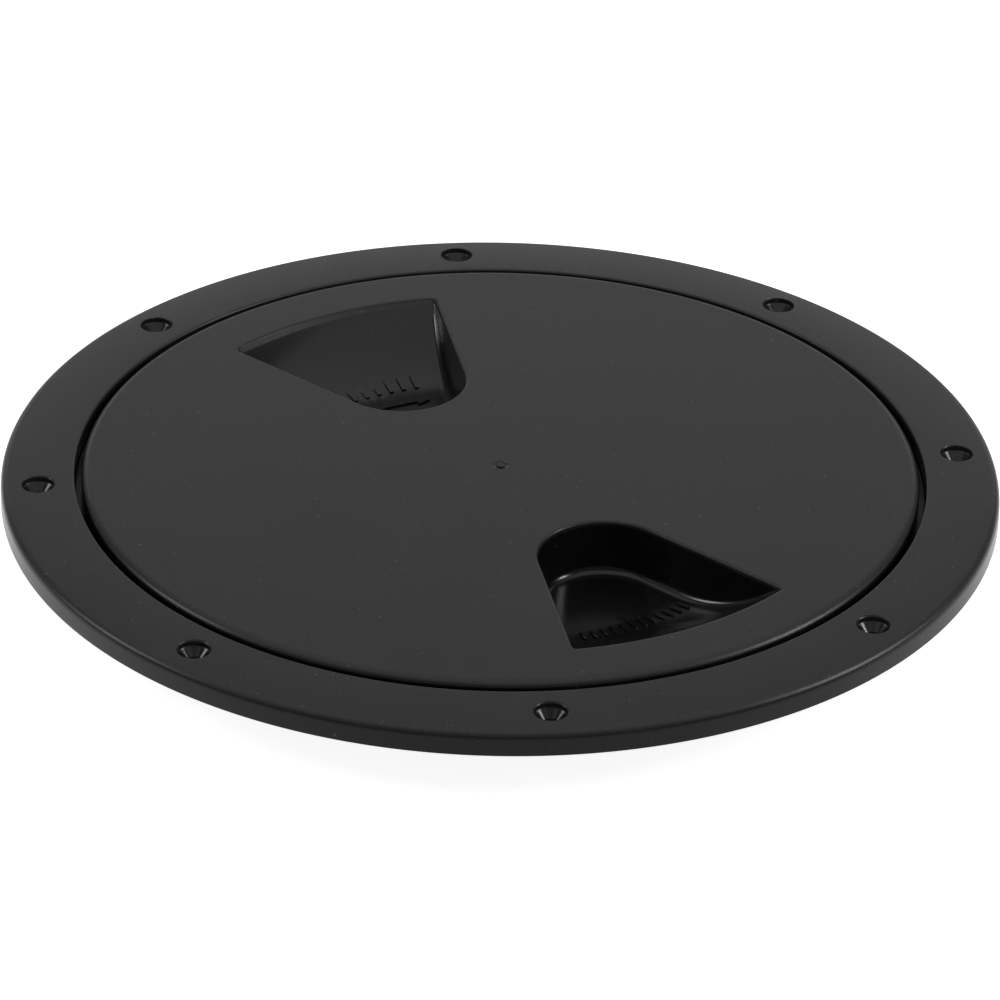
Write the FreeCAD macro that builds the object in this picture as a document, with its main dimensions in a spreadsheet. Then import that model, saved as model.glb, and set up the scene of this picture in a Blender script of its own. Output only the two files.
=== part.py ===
import FreeCAD, Part
import math
import os
import re
import Sketcher

# A round screw-in deck hatch: a flange that is screwed to the deck, a lid that
# screws into it, and an O-ring between the two.
# Frame: millimetres, +Z up, origin at the centre of the screw circle on the
# flange's underside, which lies on the deck. +X passes through a screw hole.

# How near two heights or lengths are when they count as the same.
SAME = 0.01

doc = FreeCAD.newDocument("deck_hatch")

# ---------------------------------------------------------------- sizes
SIZES = {
    # flange and barrel
    "flange_width": 18.7,
    "flange_thickness": 7.0,
    "flange_fall": 0.7,
    "flange_edge_round": 2.0,
    "bore_diameter": 203.2,
    "barrel_wall": 3.9,
    "barrel_depth": 13.0,
    "edge_break": 0.6,
    # seal shelf, inside the flange
    "shelf_width": 6.7,
    # hollow underside of the flange
    "channel_inner_land": 4.5,
    "channel_outer_land": 3.0,
    "channel_roof": 2.7,
    "rib_thickness": 1.6,
    "ribs_per_screw": 2,
    # deck screws
    "screw_edge_distance": 9.4,
    "screw_count": 8,
    "screw_hole_diameter": 4.3,
    "screw_head_diameter": 8.2,
    "screw_head_land": 1.5,
    "boss_wall": 1.9,
    # thread, the same form on both pieces
    "thread_lead": 8.0,
    "thread_starts": 2,
    "ridge_depth": 1.8,
    "ridge_taper": 1.4,
    "ridge_sink": 0.3,
    "thread_clearance": 0.7,
    "flank_clearance": 0.572,
    "frame_thread_rise": 8.0,
    "frame_thread_end_gap": 3.0,
    "lid_thread_rise": 6.0,
    # lid
    "lid_proud": 0.85,
    "lid_gap": 1.7,
    "lid_shoulder": 2.2,
    "rim_edge_height": 0.45,
    "lid_plate": 3.0,
    "neck_wall": 3.0,
    "neck_depth": 9.5,
    "lid_rib_height": 6.0,
    "lid_rib_count": 6,
    "lid_hub_diameter": 14.0,
    "gate_dimple_diameter": 4.4,
    "gate_dimple_depth": 0.6,
    "gate_stub_diameter": 1.8,
    # finger recesses
    "recess_direction": -65.55,
    "recess_count": 2,
    "recess_half_angle": 19.15,
    "recess_nose_radius": 17.1,
    "recess_rim_margin": 15.2,
    "recess_depth": 14.2,
    "recess_scoop_run": 31.4,
    "recess_draft": 3.5,
    "recess_floor_round": 2.5,
    "recess_mouth_round": 0.8,
    "cup_wall": 2.5,
    # seal
    "seal_section": 3.0,
    "seal_clearance": 0.1,
    # how far a rib or a cutting shape runs past the face that it ends on
    "overrun": 1.0,
}

# Sizes that follow from the ones above.
DERIVED = {
    "bore_radius": "bore_diameter / 2",
    "barrel_radius": "bore_radius + barrel_wall",
    "mouth_radius": "bore_radius + shelf_width",
    "flange_radius": "mouth_radius + flange_width",
    "channel_inner_radius": "barrel_radius + channel_inner_land",
    "channel_outer_radius": "flange_radius - channel_outer_land",
    "channel_depth": "flange_thickness - flange_fall - channel_roof",
    "screw_radius": "flange_radius - screw_edge_distance",
    "boss_radius": "screw_head_diameter / 2 + boss_wall",
    "frame_crest_radius": "bore_radius - ridge_depth",
    "lid_crest_radius": "bore_radius - thread_clearance",
    "neck_radius": "lid_crest_radius - ridge_depth",
    "thread_pitch": "thread_lead / thread_starts",
    "flank_spread": "ridge_taper * (ridge_depth + thread_clearance) / ridge_depth",
    "ridge_root_width": "(thread_pitch + flank_spread) / 2 - flank_clearance",
    "ridge_crest_width": "ridge_root_width - ridge_taper",
    "frame_thread_start": "frame_thread_end_gap - barrel_depth",
    "lid_thread_start": "frame_thread_start + thread_pitch / 2",
    "lid_thread_top": "lid_thread_start + lid_thread_rise + ridge_root_width / 2",
    "pilot_bottom": "lid_thread_top + ridge_depth",
    "lid_top": "flange_thickness + lid_proud",
    "rim_radius": "mouth_radius - lid_gap",
    "rim_underside": "lid_top - lid_shoulder - rim_edge_height",
    "shelf_height": "rim_underside - seal_section - 2 * seal_clearance",
    "plate_underside": "lid_top - lid_plate",
    "seal_radius": "lid_crest_radius + seal_clearance + seal_section / 2",
    "recess_floor": "lid_top - recess_depth",
    "recess_reach": "rim_radius - recess_rim_margin",
    "recess_scoop_start": "recess_reach - recess_scoop_run",
    "scoop_radius": "(recess_scoop_run ^ 2 + recess_depth ^ 2) / (2 * recess_depth)",
}

sheet = doc.addObject("Spreadsheet::Sheet", "sizes")
for row, (alias, value) in enumerate(list(SIZES.items()) + list(DERIVED.items()), start=1):
    sheet.set("A%d" % row, alias.replace("_", " "))
    sheet.set("B%d" % row, "=" + value if alias in DERIVED else str(value))
    sheet.setAlias("B%d" % row, alias)
doc.recompute()


def bound(expression):
    """Put the sheet's name before each alias in an expression."""
    return re.sub(
        "[a-z_]+",
        lambda word: "sizes." + word[0] if word[0] in SIZES or word[0] in DERIVED else word[0],
        expression,
    )


def value(expression):
    """Work out an expression of sheet aliases, as a plain number."""
    return float(sheet.evalExpression(bound(expression)))


def bind(item, name, expression):
    item.setExpression(name, bound(expression))


# ---------------------------------------------------------------- sketches
def origin_plane(body, role):
    return next(item for item in body.Origin.OriginFeatures if item.Role == role)


def arc_between(start, end, radius):
    """Arc of the given radius: counter-clockwise if it is positive, clockwise if negative."""
    first, last = (start, end) if radius > 0 else (end, start)
    chord = last - first
    middle = (first + last) * 0.5
    rise = math.sqrt(max(radius * radius - chord.Length * chord.Length / 4, 0.0))
    centre = middle + FreeCAD.Vector(-chord.y, chord.x, 0).normalize() * rise
    angles = [math.atan2(p.y - centre.y, p.x - centre.x) for p in (first, last)]
    circle = Part.Circle(centre, FreeCAD.Vector(0, 0, 1), abs(radius))
    return Part.ArcOfCircle(circle, angles[0], angles[1])


def loop_sketch(body, name, role, corners, height=None, turn=None):
    """Closed outline. Each corner is (x, y), or (x, y, radius) where an arc arrives at it."""
    sketch = body.newObject("Sketcher::SketchObject", name)
    sketch.AttachmentSupport = (origin_plane(body, role), [""])
    sketch.MapMode = "FlatFace"
    if height:
        bind(sketch, "AttachmentOffset.Base.z", height)
    if turn:
        bind(sketch, "AttachmentOffset.Rotation.Angle", turn)
    points = [FreeCAD.Vector(value(c[0]), value(c[1]), 0) for c in corners]
    starts = []
    for index, corner in enumerate(corners):
        radius = value(corner[2]) if len(corner) > 2 else 0.0
        before = points[index - 1]
        if radius:
            sketch.addGeometry(arc_between(before, points[index], radius), False)
        else:
            sketch.addGeometry(Part.LineSegment(before, points[index]), False)
        starts.append(2 if radius < 0 else 1)
    for index, corner in enumerate(corners):
        following = (index + 1) % len(corners)
        arrives = 3 - starts[index]
        sketch.addConstraint(
            Sketcher.Constraint("Coincident", index, arrives, following, starts[following])
        )
        for kind, length, place in (
            ("DistanceX", corner[0], points[index].x),
            ("DistanceY", corner[1], points[index].y),
        ):
            number = sketch.addConstraint(
                Sketcher.Constraint(kind, -1, 1, index, arrives, place)
            )
            sketch.setExpression("Constraints[%d]" % number, bound(length))
        if len(corner) > 2:
            number = sketch.addConstraint(
                Sketcher.Constraint("Radius", index, abs(value(corner[2])))
            )
            sketch.setExpression("Constraints[%d]" % number, "abs(" + bound(corner[2]) + ")")
    if sketch.solve() != 0:
        raise RuntimeError("sketch %s doesn't solve" % name)
    return sketch


def circle_sketch(body, name, role, x, radius, height=None):
    """One circle on the sketch's X axis."""
    sketch = body.newObject("Sketcher::SketchObject", name)
    sketch.AttachmentSupport = (origin_plane(body, role), [""])
    sketch.MapMode = "FlatFace"
    if height:
        bind(sketch, "AttachmentOffset.Base.z", height)
    centre = FreeCAD.Vector(value(x), 0, 0)
    sketch.addGeometry(Part.Circle(centre, FreeCAD.Vector(0, 0, 1), value(radius)), False)
    across = sketch.addConstraint(Sketcher.Constraint("DistanceX", -1, 1, 0, 3, value(x)))
    sketch.setExpression("Constraints[%d]" % across, bound(x))
    sketch.addConstraint(Sketcher.Constraint("PointOnObject", 0, 3, -1))
    size = sketch.addConstraint(Sketcher.Constraint("Radius", 0, value(radius)))
    sketch.setExpression("Constraints[%d]" % size, bound(radius))
    return sketch


# ---------------------------------------------------------------- features
def spin(body, name, sketch, kind="PartDesign::Revolution"):
    """Turn a sketch all the way round the Z axis, adding or (Groove) cutting."""
    feature = body.newObject(kind, name)
    feature.Profile = sketch
    feature.ReferenceAxis = (sketch, ["V_Axis"])
    feature.Angle = 360
    return feature


def pad(body, name, sketch, length, down=False):
    feature = body.newObject("PartDesign::Pad", name)
    feature.Profile = sketch
    feature.Reversed = down
    bind(feature, "Length", length)
    return feature


def around(body, name, originals, sketch, count):
    """Repeat features evenly round the Z axis."""
    feature = body.newObject("PartDesign::PolarPattern", name)
    feature.Originals = originals
    feature.Axis = (sketch, ["V_Axis"] if "plane_xz" in sketch.Name else ["N_Axis"])
    feature.Angle = 360
    bind(feature, "Occurrences", count)
    body.Tip = feature
    return feature


def thread_ridges(body, name, root, crest, start, rise):
    """Helical ridges of trapezoid section, one for each start."""
    inwards = value(crest) < value(root)
    foot = root + (" + ridge_sink" if inwards else " - ridge_sink")
    outline = loop_sketch(body, name + "_plane_xz", "XZ_Plane", [
        (foot, start + " - ridge_root_width / 2"),
        (crest, start + " - ridge_crest_width / 2"),
        (crest, start + " + ridge_crest_width / 2"),
        (foot, start + " + ridge_root_width / 2"),
    ])
    doc.recompute()
    helix = body.newObject("PartDesign::AdditiveHelix", name)
    helix.Profile = outline
    helix.ReferenceAxis = (outline, ["V_Axis"])
    helix.Mode = 0
    bind(helix, "Pitch", "thread_lead")
    bind(helix, "Height", rise)
    doc.recompute()
    return around(body, name + "_starts", [helix], outline, "thread_starts")


# ---------------------------------------------------------------- mounting frame
def make_mounting_frame():
    body = doc.addObject("PartDesign::Body", "mounting_frame")
    section = loop_sketch(body, "frame_plane_xz", "XZ_Plane", [
        ("bore_radius", "edge_break - barrel_depth"),
        ("bore_radius + edge_break", "0 - barrel_depth"),
        ("barrel_radius - edge_break", "0 - barrel_depth"),
        ("barrel_radius", "edge_break - barrel_depth"),
        ("barrel_radius", "0"),
        ("channel_inner_radius", "0"),
        ("channel_inner_radius", "channel_depth"),
        ("channel_outer_radius", "channel_depth"),
        ("channel_outer_radius", "0"),
        ("flange_radius", "0"),
        ("flange_radius", "flange_thickness - flange_fall - flange_edge_round"),
        ("flange_radius - flange_edge_round", "flange_thickness - flange_fall", "flange_edge_round"),
        ("mouth_radius + edge_break", "flange_thickness"),
        ("mouth_radius", "flange_thickness - edge_break", "edge_break"),
        ("mouth_radius", "shelf_height"),
        ("bore_radius", "shelf_height"),
    ])
    spin(body, "flange_and_barrel", section)
    doc.recompute()

    rib = loop_sketch(body, "rib_plane_xy", "XY_Plane", [
        ("channel_inner_radius - overrun", "0 - rib_thickness / 2"),
        ("channel_outer_radius + overrun", "0 - rib_thickness / 2"),
        ("channel_outer_radius + overrun", "rib_thickness / 2"),
        ("channel_inner_radius - overrun", "rib_thickness / 2"),
    ])
    ribs = pad(body, "channel_rib", rib, "channel_depth + channel_roof / 2")
    doc.recompute()
    around(body, "channel_ribs", [ribs], rib, "screw_count * ribs_per_screw")
    doc.recompute()

    boss = circle_sketch(body, "boss_plane_xy", "XY_Plane", "screw_radius", "boss_radius")
    bosses = pad(body, "screw_boss", boss, "channel_depth + channel_roof / 2")
    doc.recompute()
    around(body, "screw_bosses", [bosses], boss, "screw_count")
    doc.recompute()

    hole = screw_hole_sketch(body)
    cut = body.newObject("PartDesign::Groove", "screw_hole")
    cut.Profile = hole
    cut.ReferenceAxis = (hole, ["Axis0"])
    cut.Angle = 360
    doc.recompute()
    around(body, "screw_holes", [cut], hole, "screw_count")
    doc.recompute()

    thread_ridges(
        body, "frame_thread", "bore_radius", "frame_crest_radius",
        "frame_thread_start", "frame_thread_rise",
    )
    return body


def screw_hole_sketch(body):
    """Half-section of a countersunk hole: head land, 90 degree cone, clearance hole."""
    cone = "(screw_head_diameter - screw_hole_diameter) / 2"
    head_floor = "flange_thickness - flange_fall / 2 - screw_head_land"
    sketch = loop_sketch(body, "hole_plane_xz", "XZ_Plane", [
        ("screw_radius", "0 - overrun"),
        ("screw_radius + screw_hole_diameter / 2", "0 - overrun"),
        ("screw_radius + screw_hole_diameter / 2", head_floor + " - " + cone),
        ("screw_radius + screw_head_diameter / 2", head_floor),
        ("screw_radius + screw_head_diameter / 2", "flange_thickness + overrun"),
        ("screw_radius", "flange_thickness + overrun"),
    ])
    top = FreeCAD.Vector(value("screw_radius"), value("flange_thickness"), 0)
    bottom = FreeCAD.Vector(value("screw_radius"), 0, 0)
    axis = sketch.addGeometry(Part.LineSegment(bottom, top), True)
    sketch.addConstraint(Sketcher.Constraint("Vertical", axis))
    sketch.addConstraint(Sketcher.Constraint("PointOnObject", axis, 1, -1))
    sketch.addConstraint(Sketcher.Constraint("PointOnObject", axis, 1, 0))
    length = sketch.addConstraint(
        Sketcher.Constraint("Distance", axis, value("flange_thickness"))
    )
    sketch.setExpression("Constraints[%d]" % length, bound("flange_thickness"))
    return sketch


# ---------------------------------------------------------------- screw lid
def make_lid_base():
    """Lid plate, rim, pilot, threaded neck, underside ribs and the gate mark."""
    body = doc.addObject("PartDesign::Body", "lid_base")
    section = loop_sketch(body, "lid_plane_xz", "XZ_Plane", [
        ("0", "plate_underside"),
        ("neck_radius - neck_wall", "plate_underside"),
        ("neck_radius - neck_wall", "0 - neck_depth"),
        ("neck_radius - edge_break", "0 - neck_depth"),
        ("neck_radius", "edge_break - neck_depth"),
        ("neck_radius", "lid_thread_top"),
        ("lid_crest_radius", "pilot_bottom"),
        ("lid_crest_radius", "rim_underside"),
        ("rim_radius", "rim_underside"),
        ("rim_radius", "lid_top - lid_shoulder"),
        ("rim_radius - lid_shoulder", "lid_top", "lid_shoulder"),
        ("gate_dimple_diameter / 2", "lid_top"),
        ("gate_stub_diameter / 2", "lid_top - gate_dimple_depth"),
        ("gate_stub_diameter / 2", "lid_top"),
        ("0", "lid_top"),
    ])
    spin(body, "plate_rim_and_neck", section)
    doc.recompute()

    rib = loop_sketch(body, "lid_rib_plane_xy", "XY_Plane", [
        ("0", "0 - rib_thickness / 2"),
        ("neck_radius - neck_wall / 2", "0 - rib_thickness / 2"),
        ("neck_radius - neck_wall / 2", "rib_thickness / 2"),
        ("0", "rib_thickness / 2"),
    ], height="plate_underside - lid_rib_height", turn="recess_direction + 180 / lid_rib_count")
    ribs = pad(body, "lid_rib", rib, "lid_rib_height + lid_plate / 2")
    doc.recompute()
    around(body, "lid_ribs", [ribs], rib, "lid_rib_count")
    doc.recompute()

    hub = circle_sketch(
        body, "hub_plane_xy", "XY_Plane", "0", "lid_hub_diameter / 2",
        height="plate_underside - lid_rib_height",
    )
    pad(body, "lid_hub", hub, "lid_rib_height + lid_plate / 2")
    doc.recompute()

    thread_ridges(
        body, "lid_thread", "neck_radius", "lid_crest_radius",
        "lid_thread_start", "lid_thread_rise",
    )
    return body


def make_recess_solid(name, turn, rise, wall):
    """The space of one finger recess as a solid, or that space grown by a wall.

    In plan it is a sector of the lid with a round nose. Its floor is flat and then
    curves up towards the rim. It rises past the lid's top face by `rise`.
    """
    body = doc.addObject("PartDesign::Body", name)
    half = "(recess_half_angle * 1 deg)"
    top = "lid_top + " + rise
    grow = "(" + wall + " + " + rise + " * tan(recess_draft * 1 deg))"
    nose = "(recess_nose_radius + " + grow + ")"
    far = "(recess_reach + 2 * max(" + rise + "; " + wall + "))"
    along = "sqrt(" + far + " * " + far + " - " + grow + " * " + grow + ")"
    near_x = "recess_nose_radius / sin" + half + " - " + nose + " * sin" + half
    near_y = nose + " * cos" + half
    far_x = along + " * cos" + half + " - " + grow + " * sin" + half
    far_y = along + " * sin" + half + " + " + grow + " * cos" + half
    plan = loop_sketch(body, name + "_plane_xy", "XY_Plane", [
        (near_x, "0 - " + near_y, nose),
        (far_x, "0 - (" + far_y + ")"),
        (far_x, far_y, far),
        (near_x, near_y),
    ], height=top)
    block = pad(body, name + "_block", plan, "recess_depth + " + rise + " + " + wall, down=True)
    block.setExpression("TaperAngle", "0 - " + bound("recess_draft"))

    scoop = "(scoop_radius + " + wall + ")"
    level = "(" + top + " + overrun)"
    drop = "(recess_floor + scoop_radius - " + level + ")"
    end = "(recess_scoop_start + sqrt(" + scoop + " * " + scoop + " - " + drop + " * " + drop + "))"
    bottom = "recess_floor - " + wall
    under = loop_sketch(body, name + "_plane_xz", "XZ_Plane", [
        ("recess_scoop_start", bottom),
        (end, level, scoop),
        (end + " + recess_reach", level),
        (end + " + recess_reach", bottom + " - recess_depth"),
        ("recess_scoop_start", bottom + " - recess_depth"),
    ])
    spin(body, name + "_scoop", under, "PartDesign::Groove")
    doc.recompute()

    sharp = body.Tip
    rounded = body.newObject("PartDesign::Fillet", name + "_floor_round")
    rounded.Base = (sharp, floor_edges(sharp.Shape, value(bottom)))
    bind(rounded, "Radius", "recess_floor_round + " + wall)
    body.Placement = FreeCAD.Placement(
        FreeCAD.Vector(), FreeCAD.Rotation(FreeCAD.Vector(0, 0, 1), turn)
    )
    doc.recompute()
    return body


def floor_edges(shape, bottom):
    """Edges where a recess's walls meet its floor and its scoop."""
    names = []
    for number, edge in enumerate(shape.Edges, start=1):
        ends = [vertex.Point for vertex in (edge.Vertexes[0], edge.Vertexes[-1])]
        height = abs(ends[1].z - ends[0].z)
        run = math.hypot(ends[1].x - ends[0].x, ends[1].y - ends[0].y)
        starts_on_floor = min(end.z for end in ends) < bottom + SAME
        on_middle = min(abs(end.y) for end in ends) < SAME
        if starts_on_floor and run > height and not on_middle:
            names.append("Edge%d" % number)
    return names


def make_screw_lid():
    base = make_lid_base()
    turns = [
        SIZES["recess_direction"] + 360.0 * number / SIZES["recess_count"]
        for number in range(SIZES["recess_count"])
    ]
    cups = [
        make_recess_solid("cup_%d" % number, turn, "(0 - lid_plate / 2)", "cup_wall")
        for number, turn in enumerate(turns, start=1)
    ]
    spaces = [
        make_recess_solid("space_%d" % number, turn, "lid_shoulder", "0")
        for number, turn in enumerate(turns, start=1)
    ]
    solid = doc.addObject("Part::MultiFuse", "lid_with_cups")
    solid.Shapes = [base] + cups
    tools = doc.addObject("Part::MultiFuse", "finger_spaces")
    tools.Shapes = spaces
    cut = doc.addObject("Part::Cut", "lid_with_recesses")
    cut.Base = solid
    cut.Tool = tools
    doc.recompute()
    lid = doc.addObject("Part::Fillet", "screw_lid")
    lid.Base = cut
    radius = value("recess_mouth_round")
    lid.Edges = [(number, radius, radius) for number in mouth_edges(cut.Shape)]
    doc.recompute()
    return lid


def mouth_edges(shape):
    """Edges of the finger recesses in the lid's top face."""
    top = value("lid_top")
    inner = value("gate_dimple_diameter")
    outer = value("recess_reach + overrun")
    found = []
    for number, edge in enumerate(shape.Edges, start=1):
        box = edge.BoundBox
        radii = [math.hypot(v.X, v.Y) for v in edge.Vertexes]
        on_top = box.ZMin > top - SAME and box.ZMax < top + SAME
        if on_top and min(radii) > inner and max(radii) < outer:
            found.append(number)
    return found


# ---------------------------------------------------------------- o-ring
def make_lid_o_ring():
    ring = doc.addObject("Part::Torus", "lid_o_ring")
    bind(ring, "Radius1", "seal_radius")
    bind(ring, "Radius2", "seal_section / 2")
    bind(ring, "Placement.Base.z", "shelf_height + seal_clearance + seal_section / 2")
    return ring


# ---------------------------------------------------------------- parts
PARTS = [make_mounting_frame(), make_screw_lid(), make_lid_o_ring()]
doc.recompute()

for item in doc.Objects:
    if "Invalid" in item.State or "Error" in item.State:
        raise RuntimeError("%s failed: %s" % (item.Name, item.State))
for item in PARTS:
    if item.Shape.isNull() or not item.Shape.isValid():
        raise RuntimeError("%s has no valid shape" % item.Label)

os.makedirs("parts", exist_ok=True)
for item in PARTS:
    item.Shape.exportStep("parts/%s.step" % item.Label)
    print("%-16s %9.0f mm3, %d solid" % (item.Label, item.Shape.Volume, len(item.Shape.Solids)))
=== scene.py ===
# %% [markdown]
# # A screw-in deck hatch in black plastic
# A deck hatch closes a round hole in a boat's deck. Two injection mouldings and a
# rubber ring make the whole of it: a flange with a threaded barrel, a lid that
# screws into the barrel, and an O-ring that the lid squeezes as it goes down.
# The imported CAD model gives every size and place, in metres, and this script
# gives the finish.

# %% Load the frame
import math

import bmesh
import bpy
from mathutils import Matrix, Vector


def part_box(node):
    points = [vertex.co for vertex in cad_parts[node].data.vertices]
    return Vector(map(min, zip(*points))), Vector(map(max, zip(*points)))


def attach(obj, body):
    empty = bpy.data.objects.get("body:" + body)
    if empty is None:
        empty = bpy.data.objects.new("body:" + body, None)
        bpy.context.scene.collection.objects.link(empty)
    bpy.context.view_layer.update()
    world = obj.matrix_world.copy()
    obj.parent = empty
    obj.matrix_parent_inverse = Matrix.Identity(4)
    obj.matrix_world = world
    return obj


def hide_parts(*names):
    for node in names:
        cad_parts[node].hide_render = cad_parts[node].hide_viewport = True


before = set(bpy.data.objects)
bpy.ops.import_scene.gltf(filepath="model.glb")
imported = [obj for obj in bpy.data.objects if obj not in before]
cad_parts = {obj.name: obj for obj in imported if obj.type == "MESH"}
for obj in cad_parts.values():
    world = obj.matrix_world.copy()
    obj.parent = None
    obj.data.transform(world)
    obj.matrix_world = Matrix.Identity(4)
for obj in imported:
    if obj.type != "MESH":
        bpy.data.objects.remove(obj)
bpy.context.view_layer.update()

mm = 0.001
print("pieces in the frame:", sorted(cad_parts))

# %% [markdown]
# The places come from the frame's own boxes. The sections of the two mouldings are
# repeated from the design, because a box can't hold them: each value is a length
# in millimetres, as on a drawing.

# %% Sizes
frame_low, frame_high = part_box("mounting_frame")
lid_low, lid_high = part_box("screw_lid")
ring_low, ring_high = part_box("lid_o_ring")
FLANGE = frame_high.x / mm
FLANGE_TOP = frame_high.z / mm
BARREL_END = frame_low.z / mm
LID_TOP = lid_high.z / mm
RIM = lid_high.x / mm
NECK_END = lid_low.z / mm

MOUTH = RIM + 1.7
BORE = 101.6
BARREL = BORE + 3.9
SHELF = 2.0
EDGE_FALL = 0.7
SHOULDER = 2.2
CHANNEL_IN = BARREL + 4.5
CHANNEL_OUT = FLANGE - 3.0
CHANNEL_ROOF = FLANGE_TOP - EDGE_FALL - 2.7
RIB = 1.6
RIB_TAPER = 0.25

SCREWS = 8
SCREW_CIRCLE = 117.6
SCREW_HOLE = 4.3
SCREW_HEAD = 8.2
HEAD_LAND = 1.5
BOSS = 12.0

LEAD = 8.0
STARTS = 2
RIDGE = 1.8
RIDGE_ROOT = 2.4
RIDGE_CREST = 1.0
RIDGE_SINK = 0.3
FRAME_THREAD = BARREL_END + 3.0
FRAME_THREAD_RISE = 8.0
LID_THREAD = FRAME_THREAD + LEAD / STARTS / 2
LID_THREAD_RISE = 6.0
LID_CREST = BORE - 0.7
NECK = LID_CREST - RIDGE
NECK_BORE = NECK - 3.0
PLATE_UNDER = LID_TOP - 3.0
RIM_UNDER = SHELF + 3.2
PILOT = SHELF - 1.0
print("flange %.1f mm across, lid %.1f mm" % (2 * FLANGE, 2 * RIM))

# %% [markdown]
# ## Camera
# A long lens a metre and a half away looks down at the hatch at about thirty
# degrees, so the circle reads as a flat ellipse with little perspective. The
# camera aims a little below the hatch's centre and is rolled by about a degree.

# %% Camera
camera_turn = math.radians(-96.45)
camera_height = math.radians(29.52)
camera_distance = 1.605
camera_roll = math.radians(1.25)
aim_drop = 8.2 * mm
focal_length = 226.95

hatch_centre = Vector((0, 0, FLANGE_TOP * mm))
towards_camera = Vector((
    math.cos(camera_height) * math.cos(camera_turn),
    math.cos(camera_height) * math.sin(camera_turn),
    math.sin(camera_height),
))
place = hatch_centre + camera_distance * towards_camera
right = Vector((0, 0, 1)).cross(towards_camera).normalized()
up = towards_camera.cross(right)
aim = hatch_centre - aim_drop * up
back = (place - aim).normalized()
right = up.cross(back).normalized()
up = back.cross(right)
axes = Matrix((right, up, back)).transposed()
turned = axes @ Matrix.Rotation(camera_roll, 3, "Z")
lens = bpy.data.cameras.new("camera")
lens.lens = focal_length
lens.sensor_width = 36
camera = bpy.data.objects.new("camera", lens)
camera.matrix_world = Matrix.Translation(place) @ turned.to_4x4()
bpy.context.scene.collection.objects.link(camera)
bpy.context.scene.camera = camera
print("camera %.2f m away" % (place - aim).length)

# %% [markdown]
# ## Light
# Black plastic shows what it reflects more than its own colour. Large soft panels
# therefore do most of the work: a long low one behind, whose reflection lifts the flat
# faces towards the far edge, and smaller ones at the sides that run a thin highlight
# along the rounded edges. The overhead panel is large and dim: the far cup, whose floor
# tilts towards the camera, mirrors it. The floor is kept out of reflections. The room's
# lower half takes its place there, dimmer on the camera's side, so that the flange's
# side stays darker than its top.

# %% Lights and floor
def soft_panel(name, place, size, power):
    """An area light that faces the hatch."""
    panel = bpy.data.lights.new(name, "AREA")
    panel.shape = "RECTANGLE"
    panel.size, panel.size_y = size
    panel.energy = power
    lamp = bpy.data.objects.new(name, panel)
    lamp.location = place
    lamp.rotation_euler = Vector(place).to_track_quat("Z", "Y").to_euler()
    bpy.context.scene.collection.objects.link(lamp)


def around_hatch(turn, height, distance):
    """A place given by its turn from the camera's right, its height angle and distance."""
    turn = math.radians(turn) + camera_turn + math.pi / 2
    height = math.radians(height)
    return Vector((
        distance * math.cos(height) * math.cos(turn),
        distance * math.cos(height) * math.sin(turn),
        distance * math.sin(height),
    ))


soft_panel("back_panel", around_hatch(93, 17, 1.6), (2.0, 0.35), 2.1)
soft_panel("left_panel", around_hatch(178, 28, 1.4), (0.3, 0.4), 2.5)
soft_panel("right_panel", around_hatch(-5, 30, 1.4), (0.3, 0.5), 5)
soft_panel("top_panel", around_hatch(90, 84, 1.5), (2.4, 2.4), 8.6)

world = bpy.data.worlds.new("pale_room")
bpy.context.scene.world = world
world.use_nodes = True
room = world.node_tree.nodes
direction = room.new("ShaderNodeTexCoord")
parts = room.new("ShaderNodeSeparateXYZ")
world.node_tree.links.new(direction.outputs["Generated"], parts.inputs[0])


def ramp_of(value, start, end, low, high):
    """A value mapped to a range, which may itself be driven by another value."""
    made = room.new("ShaderNodeMapRange")
    world.node_tree.links.new(value, made.inputs["Value"])
    ends = {"From Min": start, "From Max": end, "To Min": low, "To Max": high}
    for name, number in ends.items():
        if isinstance(number, bpy.types.NodeSocket):
            world.node_tree.links.new(number, made.inputs[name])
        else:
            made.inputs[name].default_value = number
    return made.outputs[0]


light_above = 0.14
light_below_near = 0.33
light_below_far = 1.0
horizon_blend = 0.05
below = ramp_of(parts.outputs["Y"], -1, 1, light_below_near, light_below_far)
strength = ramp_of(parts.outputs["Z"], -horizon_blend, 0, below, light_above)
world.node_tree.links.new(strength, room["Background"].inputs["Strength"])
room["Background"].inputs["Color"].default_value = (1, 1, 1, 1)

bpy.context.scene.view_settings.view_transform = "Standard"

floor_mesh = bpy.data.meshes.new("floor")
half_floor = 6.0
floor_gap = 0.05
floor_mesh.from_pydata(
    [(x, y, (BARREL_END - floor_gap) * mm) for x, y in (
        (-half_floor, -half_floor), (half_floor, -half_floor),
        (half_floor, half_floor), (-half_floor, half_floor),
    )],
    [], [(0, 1, 2, 3)],
)
floor = bpy.data.objects.new("floor", floor_mesh)
bpy.context.scene.collection.objects.link(floor)
floor.visible_glossy = False
print("four soft panels and a pale floor at %.1f mm" % BARREL_END)

# %% [markdown]
# ## Shader maths
# A material is easier to read as a formula than as a heap of nodes. `Wire` wraps
# one node socket, and its operators add Math nodes, so `1 - mask` is an inverted
# mask. `Shader.node` makes any other node.

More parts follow.
